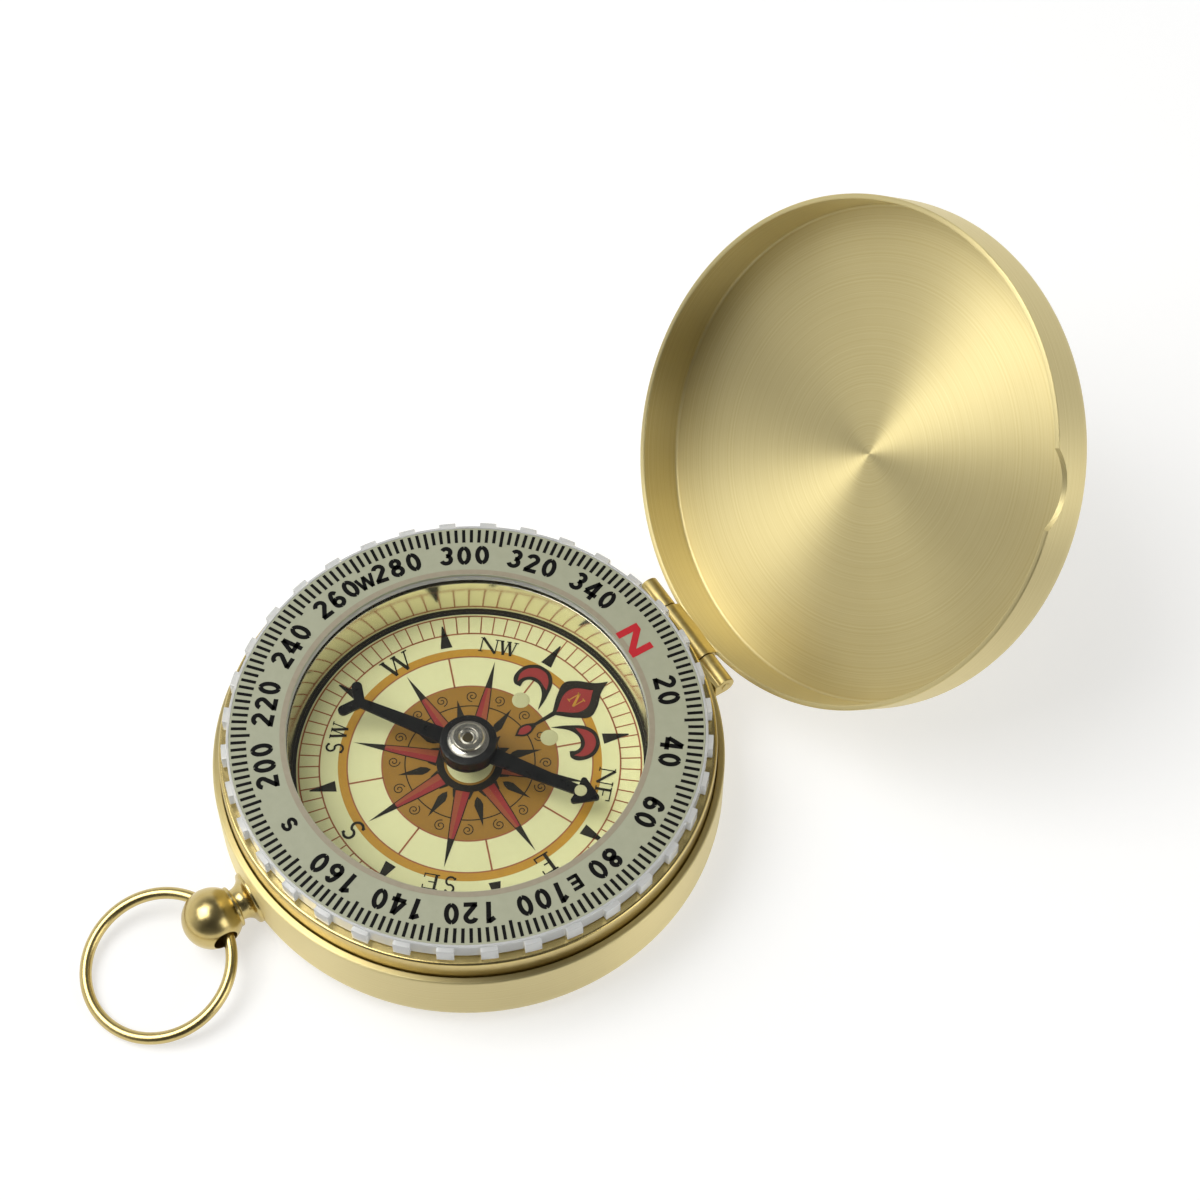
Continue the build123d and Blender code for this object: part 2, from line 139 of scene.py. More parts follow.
def linear(code):
    """Linear RGBA of an sRGB hex colour."""
    channels = [int(code[i:i + 2], 16) / 255 for i in (1, 3, 5)]
    curved = [c / 12.92 if c <= 0.04045 else ((c + 0.055) / 1.055) ** 2.4 for c in channels]
    return (*curved, 1.0)


def add(tree, kind, sockets=None, **settings):
    """Adds a node with its settings; each socket takes a value or a link."""
    made = tree.nodes.new(kind)
    for key, value in settings.items():
        setattr(made, key, value)
    for key, value in (sockets or {}).items():
        if isinstance(value, bpy.types.NodeSocket):
            tree.links.new(value, made.inputs[key])
        else:
            made.inputs[key].default_value = value
    return made


def blank(name):
    """An empty node material and its tree."""
    material = bpy.data.materials.new(name)
    material.use_nodes = True
    material.node_tree.nodes.clear()
    return material, material.node_tree


def make_spun_brass():
    """Sheet brass spun and brushed in the lathe, then lacquered: fine rings that pull each light out
    into a streak, under a thin clear gloss."""
    material, tree = blank("spun_brass")
    unrolled = add(tree, "ShaderNodeUVMap", uv_map="turning")
    along = add(tree, "ShaderNodeSeparateXYZ", {0: unrolled.outputs[0]})
    # Brush lines are about 0.05 mm apart; these are 0.2 mm so that they show
    line_gap = 0.2
    lines = add(tree, "ShaderNodeTexNoise", {
        "W": along.outputs[1], "Scale": 1 / line_gap, "Detail": 4.0, "Roughness": 0.7}, noise_dimensions="1D")
    coords = add(tree, "ShaderNodeTexCoord")
    # Handling leaves dull patches 7 mm wide
    patch = 7 * mm
    dull = add(tree, "ShaderNodeTexNoise", {
        "Vector": coords.outputs["Object"], "Scale": 1 / patch, "Detail": 3.0})
    colour = add(tree, "ShaderNodeMix", {
        "Factor": lines.outputs[0], mix_dark: linear("#CCB97C"), mix_light: linear("#E8DCA8")},
        data_type="RGBA")
    worn = add(tree, "ShaderNodeMath", {0: dull.outputs[0], 1: 0.12, 2: 0.36}, operation="MULTIPLY_ADD")
    rough = add(tree, "ShaderNodeMath", {0: lines.outputs[0], 1: 0.12, 2: worn.outputs[0]},
                operation="MULTIPLY_ADD")
    bump = add(tree, "ShaderNodeBump", {"Strength": 0.08, "Distance": 0.02 * mm, "Height": lines.outputs[0]})
    tangent = add(tree, "ShaderNodeTangent", direction_type="UV_MAP", uv_map="turning")
    metal = add(tree, "ShaderNodeBsdfPrincipled", {
        "Base Color": colour.outputs[mix_result], "Metallic": 1.0, "Roughness": rough.outputs[0],
        "Anisotropic": 0.85, "Anisotropic Rotation": 0.25, "Tangent": tangent.outputs[0],
        "Normal": bump.outputs[0], "Coat Weight": 0.3, "Coat Roughness": 0.35})
    add(tree, "ShaderNodeOutputMaterial", {"Surface": metal.outputs[0]})
    return material


def make_polished_brass():
    """Turned brass, buffed: clear reflections broken by faint wipe marks about 1.2 mm wide."""
    material, tree = blank("polished_brass")
    coords = add(tree, "ShaderNodeTexCoord")
    mark = 1.2 * mm
    marks = add(tree, "ShaderNodeTexNoise", {
        "Vector": coords.outputs["Object"], "Scale": 1 / mark, "Detail": 5.0, "Roughness": 0.65})
    colour = add(tree, "ShaderNodeMix", {
        "Factor": marks.outputs[0], mix_dark: linear("#BEA86A"), mix_light: linear("#D2C086")},
        data_type="RGBA")
    rough = add(tree, "ShaderNodeMath", {0: marks.outputs[0], 1: 0.1, 2: 0.2}, operation="MULTIPLY_ADD")
    bump = add(tree, "ShaderNodeBump", {"Strength": 0.02, "Distance": 0.05 * mm, "Height": marks.outputs[0]})
    metal = add(tree, "ShaderNodeBsdfPrincipled", {
        "Base Color": colour.outputs[mix_result], "Metallic": 1.0, "Roughness": rough.outputs[0],
        "Normal": bump.outputs[0]})
    add(tree, "ShaderNodeOutputMaterial", {"Surface": metal.outputs[0]})
    return material


def make_metal(name, dark, light, rough, grain):
    """A plain metal whose tone and gloss drift a little with the grain of its working, in mm."""
    material, tree = blank(name)
    coords = add(tree, "ShaderNodeTexCoord")
    drift = add(tree, "ShaderNodeTexNoise", {
        "Vector": coords.outputs["Object"], "Scale": 1 / (grain * mm), "Detail": 4.0})
    colour = add(tree, "ShaderNodeMix", {
        "Factor": drift.outputs[0], mix_dark: linear(dark), mix_light: linear(light)}, data_type="RGBA")
    gloss = add(tree, "ShaderNodeMath", {0: drift.outputs[0], 1: 0.5 * rough, 2: 0.75 * rough},
                operation="MULTIPLY_ADD")
    metal = add(tree, "ShaderNodeBsdfPrincipled", {
        "Base Color": colour.outputs[mix_result], "Metallic": 1.0, "Roughness": gloss.outputs[0]})
    add(tree, "ShaderNodeOutputMaterial", {"Surface": metal.outputs[0]})
    return material


def make_coat(name, dark, light, rough, grain, relief, ior=1.5):
    """A paint, print or moulding: tone and a fine relief vary with its grain, in mm."""
    material, tree = blank(name)
    coords = add(tree, "ShaderNodeTexCoord")
    drift = add(tree, "ShaderNodeTexNoise", {
        "Vector": coords.outputs["Object"], "Scale": 1 / (grain * mm), "Detail": 5.0, "Roughness": 0.6})
    colour = add(tree, "ShaderNodeMix", {
        "Factor": drift.outputs[0], mix_dark: linear(dark), mix_light: linear(light)}, data_type="RGBA")
    gloss = add(tree, "ShaderNodeMath", {0: drift.outputs[0], 1: 0.2, 2: rough - 0.1},
                operation="MULTIPLY_ADD")
    bump = add(tree, "ShaderNodeBump", {
        "Strength": relief, "Distance": 0.02 * mm, "Height": drift.outputs[0]})
    coat = add(tree, "ShaderNodeBsdfPrincipled", {
        "Base Color": colour.outputs[mix_result], "Roughness": gloss.outputs[0], "IOR": ior,
        "Normal": bump.outputs[0]})
    add(tree, "ShaderNodeOutputMaterial", {"Surface": coat.outputs[0]})
    return material


def make_clear(name, tint, ior, rough, clarity):
    """Clear glass or acrylic; shadow rays pass straight through, so the dial under it is lit."""
    material, tree = blank(name)
    coords = add(tree, "ShaderNodeTexCoord")
    # Wiping leaves faint haze in 3 mm patches
    patch = 3 * mm
    haze = add(tree, "ShaderNodeTexNoise", {
        "Vector": coords.outputs["Object"], "Scale": 1 / patch, "Detail": 3.0})
    gloss = add(tree, "ShaderNodeMath", {0: haze.outputs[0], 1: rough, 2: 0.5 * rough},
                operation="MULTIPLY_ADD")
    body = add(tree, "ShaderNodeBsdfPrincipled", {
        "Base Color": linear(tint), "Roughness": gloss.outputs[0], "IOR": ior,
        "Transmission Weight": clarity})
    through = add(tree, "ShaderNodeBsdfTransparent", {"Color": linear(tint)})
    path = add(tree, "ShaderNodeLightPath")
    either = add(tree, "ShaderNodeMixShader", {
        0: path.outputs["Is Shadow Ray"], 1: body.outputs[0], 2: through.outputs[0]})
    add(tree, "ShaderNodeOutputMaterial", {"Surface": either.outputs[0]})
    return material


spun_brass = make_spun_brass()
polished_brass = make_polished_brass()
# Drawn brass tube and strip, as filed: satin
drawn_brass = make_metal("drawn_brass", "#BEA868", "#D6C488", rough=0.42, grain=0.5)
# Bright rolled steel foil: a mirror with a warm cast
bright_foil = make_metal("bright_foil", "#ECE6CE", "#FAF4E0", rough=0.12, grain=4.0)
# Nickel plate: near white, with a soft polish
nickel_plate = make_metal("nickel_plate", "#BDB6AA", "#E0DACE", rough=0.16, grain=0.8)
# Ground steel: grey and satin
ground_steel = make_metal("ground_steel", "#86888A", "#A6A8AA", rough=0.34, grain=0.5)
# Rolled aluminium: pale and satin
rolled_aluminium = make_metal("rolled_aluminium", "#B4B6B8", "#CBCDCF", rough=0.4, grain=2.0)
# Polished mineral glass: clear, with a hard sharp gloss
mineral_glass = make_clear("mineral_glass", "#F8FAF8", ior=1.5, rough=0.01, clarity=1.0)
# Moulded acrylic: clear, with a milky cast where its unpolished faces scatter light
clear_acrylic = make_clear("clear_acrylic", "#F6F7F6", ior=1.49, rough=0.16, clarity=0.5)
# Moulded polystyrene: off-white with a faint orange peel
polystyrene = make_coat("polystyrene", "#C6C6BE", "#D4D4CC", rough=0.42, grain=2.0, relief=0.1, ior=1.59)
# Screen-printed vinyl: matt grey-green
printed_vinyl = make_coat("printed_vinyl", "#A4A68C", "#B2B49A", rough=0.55, grain=0.9, relief=0.15)
# Black screen ink on the vinyl: dense and nearly matt
black_ink = make_coat("black_ink", "#080808", "#100F0E", rough=0.6, grain=0.3, relief=0.2, ior=1.22)
# Warm grey paint that stands in for the clear rim round the window: a painted look of the light seen through
# that rim, with a slight gloss
painted_clear_rim = make_coat("painted_clear_rim", "#9A907A", "#AAA08A", rough=0.4, grain=0.6, relief=0.15)
# Red screen ink: strong and even
signal_red_ink = make_coat("signal_red_ink", "#BA1826", "#CC2832", rough=0.55, grain=0.3, relief=0.2, ior=1.4)
# Card for offset printing: cream, with a paper tooth
card_stock = make_coat("card_stock", "#D4D09A", "#DEDBA8", rough=0.6, grain=0.6, relief=0.2)
# Offset inks on the card: thin and matt, so the paper's tooth shows in their tone
ochre_ink = make_coat("ochre_ink", "#AC7A0E", "#BE8C18", rough=0.55, grain=0.5, relief=0.2)
sienna_ink = make_coat("sienna_ink", "#886004", "#9A6C0A", rough=0.55, grain=0.5, relief=0.2)
rust_ink = make_coat("rust_ink", "#8C4A26", "#9C5A30", rough=0.55, grain=0.4, relief=0.2)
crimson_ink = make_coat("crimson_ink", "#821612", "#98221C", rough=0.55, grain=0.4, relief=0.2)
vermilion_ink = make_coat("vermilion_ink", "#86340F", "#98461A", rough=0.55, grain=0.4, relief=0.2)
umber_ink = make_coat("umber_ink", "#1C1912", "#2A261C", rough=0.6, grain=0.4, relief=0.2, ior=1.25)
# Luminous paint: thick and chalky, greenish white
luminous_paint = make_coat("luminous_paint", "#B2AE80", "#C2BE90", rough=0.7, grain=0.25, relief=0.5)
# Black baked enamel: deep black with a soft gloss
baked_enamel = make_coat("baked_enamel", "#050505", "#0A0A09", rough=0.3, grain=0.7, relief=0.15, ior=1.3)
# Lacquered ferrite: black with a clean gloss
lacquered_ferrite = make_coat("lacquered_ferrite", "#080808", "#100F0E", rough=0.22, grain=0.5, relief=0.1)
# Polished garnet: nearly black with a hard gloss
polished_garnet = make_coat("polished_garnet", "#2E2716", "#463C24", rough=0.12, grain=0.6, relief=0.05,
                            ior=1.76)


# Modelling

def only(piece):
    """Selects one piece and nothing else."""
    bpy.ops.object.select_all(action="DESELECT")
    piece.select_set(True)
    bpy.context.view_layer.objects.active = piece


def rounded(corners):
    """Points along a line or outline whose corners (a, b, radius) are rounded with arcs."""
    points = []
    for index, (a, b, radius) in enumerate(corners):
        here = Vector((a, b))
        if radius == 0:
            points.append((a, b))
            continue
        before = (Vector(corners[index - 1][:2]) - here).normalized()
        after = (Vector(corners[(index + 1) % len(corners)][:2]) - here).normalized()
        half = before.angle(after) / 2
        centre = here + (before + after).normalized() * radius / math.sin(half)
        first = (here + before * radius / math.tan(half) - centre) / radius
        last = (here + after * radius / math.tan(half) - centre) / radius
        sweep = first.angle(last)
        for step in range(corner_steps + 1):
            part = sweep * step / corner_steps
            spoke = (first * math.sin(sweep - part) + last * math.sin(part)) / math.sin(sweep)
            points.append(tuple(centre + spoke * radius))
    return points


def arc(centre, radius, first, last, steps=24):
    """Points on a circle from one angle to another, in degrees."""
    angles = [math.radians(first + (last - first) * step / steps) for step in range(steps + 1)]
    return [(centre[0] + radius * math.cos(angle), centre[1] + radius * math.sin(angle)) for angle in angles]


def begin(name):
    """A new mesh of one selected vertex at the origin, in edit mode."""
    bpy.ops.object.select_all(action="DESELECT")
    bpy.ops.mesh.primitive_plane_add(size=mm)
    piece = bpy.context.object
    piece.name = piece.data.name = name
    bpy.ops.object.mode_set(mode="EDIT")
    bpy.ops.mesh.select_mode(type="VERT")
    bpy.ops.mesh.merge(type="CENTER")
    return piece


def draw(points):
    """Draws the selected vertex out through points in mm, and leaves the whole line selected."""
    here = Vector((0, 0, 0))
    for index, point in enumerate(points):
        step = (Vector(point) - here) * mm
        if index == 0:
            bpy.ops.transform.translate(value=step)
        else:
            bpy.ops.mesh.extrude_vertices_move(TRANSFORM_OT_translate={"value": step})
        here = Vector(point)
    bpy.ops.mesh.select_linked()


def close_mesh():
    """Merges seams and poles, turns the faces outwards and leaves edit mode."""
    bpy.ops.mesh.select_all(action="SELECT")
    bpy.ops.mesh.remove_doubles(threshold=merge_distance)
    bpy.ops.mesh.normals_make_consistent(inside=False)
    bpy.ops.object.mode_set(mode="OBJECT")


def turned(name, outline, ring=True, steps=turn_steps):
    """A piece turned about Z from (radius, height) points; a ring's outline is closed."""
    piece = begin(name)
    draw([(radius, 0, height) for radius, height in outline])
    if ring:
        bpy.ops.mesh.edge_face_add()
        bpy.ops.mesh.delete(type="ONLY_FACE")
        bpy.ops.mesh.select_all(action="SELECT")
    bpy.ops.mesh.spin(steps=steps, angle=math.tau, center=(0, 0, 0), axis=(0, 0, 1))
    close_mesh()
    return piece


def plate(name, outline, low, high):
    """A flat outline raised from one height to another, in mm."""
    piece = begin(name)
    draw([(a, b, low) for a, b in outline])
    bpy.ops.mesh.edge_face_add()
    bpy.ops.mesh.extrude_region_move(TRANSFORM_OT_translate={"value": (0, 0, (high - low) * mm)})
    close_mesh()
    return piece


def place(piece, matrix):
    """Moves a piece and applies the move to its mesh."""
    only(piece)
    piece.matrix_world = matrix
    bpy.ops.object.transform_apply(location=True, rotation=True, scale=True)


def rod(radius, length, matrix):
    """A round cutting tool along the Z of its matrix, in mm."""
    bpy.ops.object.select_all(action="DESELECT")
    bpy.ops.mesh.primitive_cylinder_add(vertices=small_steps, radius=radius * mm, depth=length * mm)
    tool = bpy.context.object
    place(tool, matrix)
    return tool


def cut(piece, tool):
    """Takes a tool's shape out of a piece, and the tool away."""
    only(piece)
    difference = piece.modifiers.new("cut", "BOOLEAN")
    difference.operation = "DIFFERENCE"
    difference.solver = "EXACT"
    difference.object = tool
    bpy.ops.object.modifier_apply(modifier=difference.name)
    bpy.data.objects.remove(tool)


def soften(piece, width, segments=2, angle=sharp_angle):
    """Rounds the sharp edges of a piece, in mm."""
    only(piece)
    bevel = piece.modifiers.new("soften", "BEVEL")
    bevel.width = width * mm
    bevel.segments = segments
    bevel.limit_method = "ANGLE"
    bevel.angle_limit = math.radians(angle)
    bpy.ops.object.modifier_apply(modifier=bevel.name)


def pick_faces(piece, wanted):
    """Selects the faces that pass a test, and stays in edit mode."""
    only(piece)
    bpy.ops.object.mode_set(mode="EDIT")
    bpy.ops.mesh.select_mode(type="FACE")
    bpy.ops.mesh.select_all(action="DESELECT")
    bpy.ops.object.mode_set(mode="OBJECT")
    for face in piece.data.polygons:
        face.select = wanted(face)
    bpy.ops.object.mode_set(mode="EDIT")


def unroll(piece):
    """A map called turning: u round the Z axis, v along the section in mm."""
    mesh = piece.data
    layer = mesh.uv_layers.new(name="turning")
    for face in mesh.polygons:
        middle = math.atan2(face.center.y, face.center.x) / math.tau
        for corner in face.loop_indices:
            point = mesh.vertices[mesh.loops[corner].vertex_index].co
            radius = math.hypot(point.x, point.y)
            u = middle
            if radius > merge_distance:
                u = math.atan2(point.y, point.x) / math.tau
                u += round(middle - u)
            layer.data[corner].uv = (u, (radius - point.z) / mm)


def fit(piece, body, material, slot, *nodes):
    """Shades a finished piece, gives it its material and sets it on its body."""
    only(piece)
    bpy.ops.object.shade_smooth_by_angle(angle=math.radians(sharp_angle))
    # Wide faces keep their own normals, so that a flat face mirrors as a flat one
    level = piece.modifiers.new("level", "WEIGHTED_NORMAL")
    level.keep_sharp = True
    bpy.ops.object.modifier_apply(modifier=level.name)
    piece.data.materials.clear()
    piece.data.materials.append(material)
    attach(piece, body)
    if nodes:
        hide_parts(*nodes)


def at_hinge(x=0.0):
    """Place of a tool that lies along the hinge pin."""
    return Matrix.Translation((x * mm, hinge_y * mm, hinge_z * mm)) @ sideways


# Case

def make_cup():
    """The spun cup, with a notch in its wall for the lid's tongue."""
    inner_corner = case_corner - case_wall
    cup = turned("cup", rounded([
        (0, 0, 0), (case_radius, 0, case_corner), (case_radius, case_height, ledge_round),
        (case_bore, case_height, lip_round), (case_bore, case_floor, inner_corner), (0, case_floor, 0)]),
        ring=False)
    half = tongue_half + notch_gap
    outline = [(-half, notch_inner), (half, notch_inner), (half, notch_outer), (-half, notch_outer)]
    cut(cup, plate("gap", outline, hinge_z - knuckle_radius - notch_drop, case_height + 1))
    unroll(cup)
    fit(cup, "case", spun_brass, "brushed_brass", "case_cup")


def make_collar():
    """The ring over which the lid closes, with a press band at its foot."""
    collar = turned("collar", rounded([
        (collar_bore, collar_foot, collar_edge), (collar_band_radius, collar_foot, collar_edge),
        (collar_band_radius, collar_band_top, band_round), (collar_radius, collar_band_top, band_crease),
        (collar_radius, collar_top, collar_round), (collar_mouth, collar_top, collar_round),
        (collar_mouth, collar_shoulder, collar_edge), (collar_bore, collar_shoulder, collar_edge)]))
    fit(collar, "case", polished_brass, "polished_brass", "case_collar")


def make_knuckles():
    """Two tubes with flat feet on the case wall."""
    top = math.degrees(math.asin((knuckle_foot_top - hinge_z) / knuckle_radius))
    outline = [(knuckle_root, knuckle_foot_top)]
    outline += arc((hinge_y, hinge_z), knuckle_radius, 180 - top, -90, 40)
    outline += [(knuckle_root, hinge_z - knuckle_radius)]
    for name, side in (("knuckle_right", 1), ("knuckle_left", -1)):
        near, far = sorted((side * knuckle_start, side * knuckle_end))
        knuckle = plate(name, outline, near, far)
        place(knuckle, upright)
        soften(knuckle, knuckle_round, segments=3)
        cut(knuckle, rod(pin_bore, pin_cut, at_hinge(side * knuckle_end)))
        fit(knuckle, "case", drawn_brass, "polished_brass", "case_hinge_knuckles")


def make_pendant():
    """Flared foot, neck, shoulder and ball, turned on one axis and then laid along -Y."""
    rise, run = neck_start - flare_start, flare_radius - neck_radius
    sweep = (rise ** 2 + run ** 2) / (2 * run)
    flare_end = math.degrees(math.atan2(-rise, run - sweep))
    shoulder_angle = -math.degrees(math.acos(shoulder_radius / ball_radius))
    flare = arc((neck_radius + sweep, neck_start), sweep, flare_end, -180, 16)
    # The flare's first points give way to its rounded edge
    kept = 5
    outline = rounded([
        (0, foot_start, 0), (flare_radius, foot_start, 0), (flare_radius, flare_start, flare_edge),
        (*flare[kept], 0)])
    outline += flare[kept + 1:]
    outline += rounded([
        (neck_radius, neck_start, 0), (neck_radius, neck_end, neck_crease),
        (shoulder_radius, neck_end, shoulder_round), (shoulder_radius, neck_end + shoulder_rise, 0)])[1:-1]
    outline += arc((0, ball_reach), ball_radius, shoulder_angle, 90, 40)
    pendant = turned("pendant", outline, ring=False, steps=small_steps)
    place(pendant, Matrix.Translation((0, 0, pendant_z * mm)) @ Matrix.Rotation(math.pi / 2, 4, "X"))
    hole = Matrix.Translation((0, -ball_reach * mm, pendant_z * mm)) @ sideways
    cut(pendant, rod(ball_hole, ball_cut, hole))
    soften(pendant, hole_round, segments=3, angle=60)
    core = turned("core", rounded([
        (0, 0, 0), (case_radius, 0, case_corner), (case_radius, case_height, 0), (0, case_height, 0)]),
        ring=False)
    cut(pendant, core)
    fit(pendant, "case", polished_brass, "polished_brass", "pendant_stem")


def make_bow():
    """The round wire ring, laid through the ball."""
    wire = turned("bow", arc((bow_radius, 0), bow_wire_radius, 0, 345, 23), steps=160)
    facing = bow_across.cross(bow_outward)
    lay = Matrix((bow_across, bow_outward, facing)).transposed().to_4x4()
    place(wire, Matrix.Translation(bow_centre * mm) @ lay)
    fit(wire, "bow", polished_brass, "polished_brass", "bow_ring")


# Lid

def make_lid():
    """The spun lid with its thumbnail notch, made shut and then swung open."""
    lid = turned("lid", rounded([
        (0, lid_ceiling, 0), (lid_bore, lid_ceiling, lid_crease), (lid_bore, lid_rim, rim_round),
        (lid_radius, lid_rim, rim_round), (lid_radius, lid_top, lid_corner), (0, lid_top, 0)]), ring=False)
    nail_radius = (nail_length ** 2 / 4 + nail_depth ** 2) / (2 * nail_depth)
    outward = Matrix.Rotation(math.radians(nail_bearing), 4, "Z")
    reach = Matrix.Translation((lid_bore * mm, 0, (lid_rim + nail_depth - nail_radius) * mm))
    cut(lid, rod(nail_radius, nail_cut, outward @ reach @ sideways))
    unroll(lid)
    place(lid, lid_open)
    fit(lid, "lid", spun_brass, "brushed_brass", "lid_shell")


def make_lid_leaf():
    """The tongue of the lid rolled into the middle knuckle."""
    outline = [(lid_bore, tongue_top)]
    outline += arc((hinge_y, hinge_z), knuckle_radius, 180, 480, 48)
    outline += [(lid_radius, tongue_top)]
    leaf = plate("lid_leaf", outline, -tongue_half, tongue_half)
    place(leaf, upright)
    soften(leaf, tongue_round)
    cut(leaf, rod(sleeve_bore, pin_cut, at_hinge()))
    place(leaf, lid_open)
    fit(leaf, "lid", drawn_brass, "brushed_brass", "lid_shell")


def make_lid_heel():
    """The stop that meets the case wall when the lid is open."""
    heel_top = hinge_z - heel_lap
    outline = [(heel_y, heel_foot), (hinge_y, heel_foot), (hinge_y, heel_top), (heel_y, heel_top)]
    heel = plate("lid_heel", outline, -heel_half, heel_half)
    place(heel, upright)
    soften(heel, heel_round)
    fit(heel, "lid", drawn_brass, "brushed_brass", "lid_shell")


# Bezel and crystal

def on_tooth(face):
    """Whether a face of the bezel's rim is where a grip tooth stands."""
    middle = face.center / mm
    rim_slack = 0.05
    outside = math.hypot(middle.x, middle.y) > bezel_radius - rim_slack
    on_rim = outside and rim_under < middle.z < tooth_top
    bearing = math.degrees(math.atan2(middle.y, middle.x)) - tooth_first
    off_tooth = abs(bearing - tooth_pitch * round(bearing / tooth_pitch))
    return on_rim and off_tooth < tooth_half


def make_bezel():
    """The clear ring: its outline is turned, and the grip teeth are drawn out of its rim."""
    bezel = turned("bezel", [
        (window_radius, plate_under), (skirt_bore, plate_under), (skirt_bore, groove_high),
        (groove_radius, groove_high), (groove_radius, groove_low), (skirt_bore, groove_low),
        (skirt_bore, skirt_foot), (skirt_radius, skirt_foot), (skirt_radius, rim_under),
        (bezel_radius, rim_under), (bezel_radius, tooth_top), (bezel_radius, bezel_top),
        (scale_radius, bezel_top), (scale_radius, scale_seat), (window_radius, scale_seat)],
        steps=bezel_steps)
    pick_faces(bezel, on_tooth)
    bpy.ops.mesh.extrude_region_shrink_fatten(TRANSFORM_OT_shrink_fatten={"value": tooth_reach * mm})
    close_mesh()
    soften(bezel, bezel_round, segments=3)
    fit(bezel, "bezel", clear_acrylic, "clear_acrylic", "bezel_ring")


def make_crystal():
    """The flat glass, with a bevelled edge."""
    crystal = turned("crystal_pane", [
        (0, crystal_under), (crystal_radius, crystal_under), (crystal_radius, crystal_top - crystal_bevel),
        (crystal_radius - crystal_bevel, crystal_top), (0, crystal_top)], ring=False)
    soften(crystal, crystal_round)
    fit(crystal, "case", mineral_glass, "crystal_glass", "crystal")


def make_scale():
    """The ring of vinyl that carries the degrees."""
    under, outer = scale_seat + press_gap, scale_radius - press_gap
    scale = turned("scale_ring", rounded([
        (window_radius, under, scale_edge), (outer, under, scale_edge),
        (outer, scale_top, scale_edge), (window_radius, scale_top, scale_edge)]))
    fit(scale, "bezel", printed_vinyl, "scale_print", "bezel_scale")


# Printing

def bearing_point(point, bearing):
    """A point drawn at north, carried clockwise to a bearing in degrees."""
    angle = math.radians(bearing)
    x, y = point
    return (x * math.cos(angle) + y * math.sin(angle), y * math.cos(angle) - x * math.sin(angle))


def carried(outline, bearing):
    """An outline drawn at north, carried to a bearing."""
    return [bearing_point(point, bearing) for point in outline]


def shifted(outline, x, y):
    """An outline moved by x and y."""
    return [(a + x, b + y) for a, b in outline]


def bar(half, inner, outer):
    """Outline of a short straight line that points north, from one radius to another."""
    return [(-half, inner), (half, inner), (half, outer), (-half, outer)]


def ribbon(path, width):
    """Outline of a line of even width along a path."""
    left, right = [], []
    for index, point in enumerate(path):
        ahead = Vector(path[min(index + 1, len(path) - 1)]) - Vector(path[max(index - 1, 0)])
        side = Vector((-ahead.y, ahead.x)).normalized() * width / 2
        left.append(tuple(Vector(point) + side))
        right.append(tuple(Vector(point) - side))
    return left + right[::-1]


def print_layer(name, level, shapes=(), bands=(), floor=card_top):
    """A thin layer of ink: outlines, each with its copies and the degrees from first to last, and bands."""
    piece = begin(name)
    bpy.ops.mesh.delete(type="VERT")
    base = floor + ink * level
    for outline, copies, spread in shapes:
        bpy.ops.mesh.primitive_plane_add(size=mm)
        bpy.ops.mesh.merge(type="CENTER")
        draw([(x, y, 0) for x, y in outline])
        bpy.ops.mesh.edge_face_add()
        if copies > 1:
            bpy.ops.mesh.spin(steps=copies - 1, dupli=True, angle=math.radians(spread), center=(0, 0, 0),
                              axis=(0, 0, 1))
    for inner, outer in bands:
        bpy.ops.mesh.primitive_circle_add(vertices=turn_steps, radius=outer * mm, fill_type="NGON")
        if inner > 0:
            bpy.ops.mesh.inset(thickness=(outer - inner) * mm)
            bpy.ops.mesh.delete(type="FACE")
    bpy.ops.mesh.select_all(action="SELECT")
    bpy.ops.mesh.extrude_region_move(TRANSFORM_OT_translate={"value": (0, 0, ink * mm)})
    bpy.ops.mesh.select_all(action="SELECT")
    bpy.ops.mesh.normals_make_consistent(inside=False)
    bpy.ops.object.mode_set(mode="OBJECT")
    place(piece, Matrix.Translation((0, 0, base * mm)))
    return piece


def on_card(piece, material):
    """Sets a printed layer on the card."""
    place(piece, card_place)
    fit(piece, "case", material, "card_print")


def on_scale(piece, material):
    """Sets a printed layer on the degree scale."""
    fit(piece, "bezel", material, "scale_print")


def oval(centre, across, up, first, last, steps=12):
    """Points on an upright ellipse from one angle to another, in degrees."""
    return [(centre[0] + across * x, centre[1] + up * y) for x, y in arc((0, 0), 1, first, last, steps)]


def full_oval(centre, across, up):
    """An ellipse as two half turns."""
    return [oval(centre, across, up, -90, 90), oval(centre, across, up, 90, 270)]


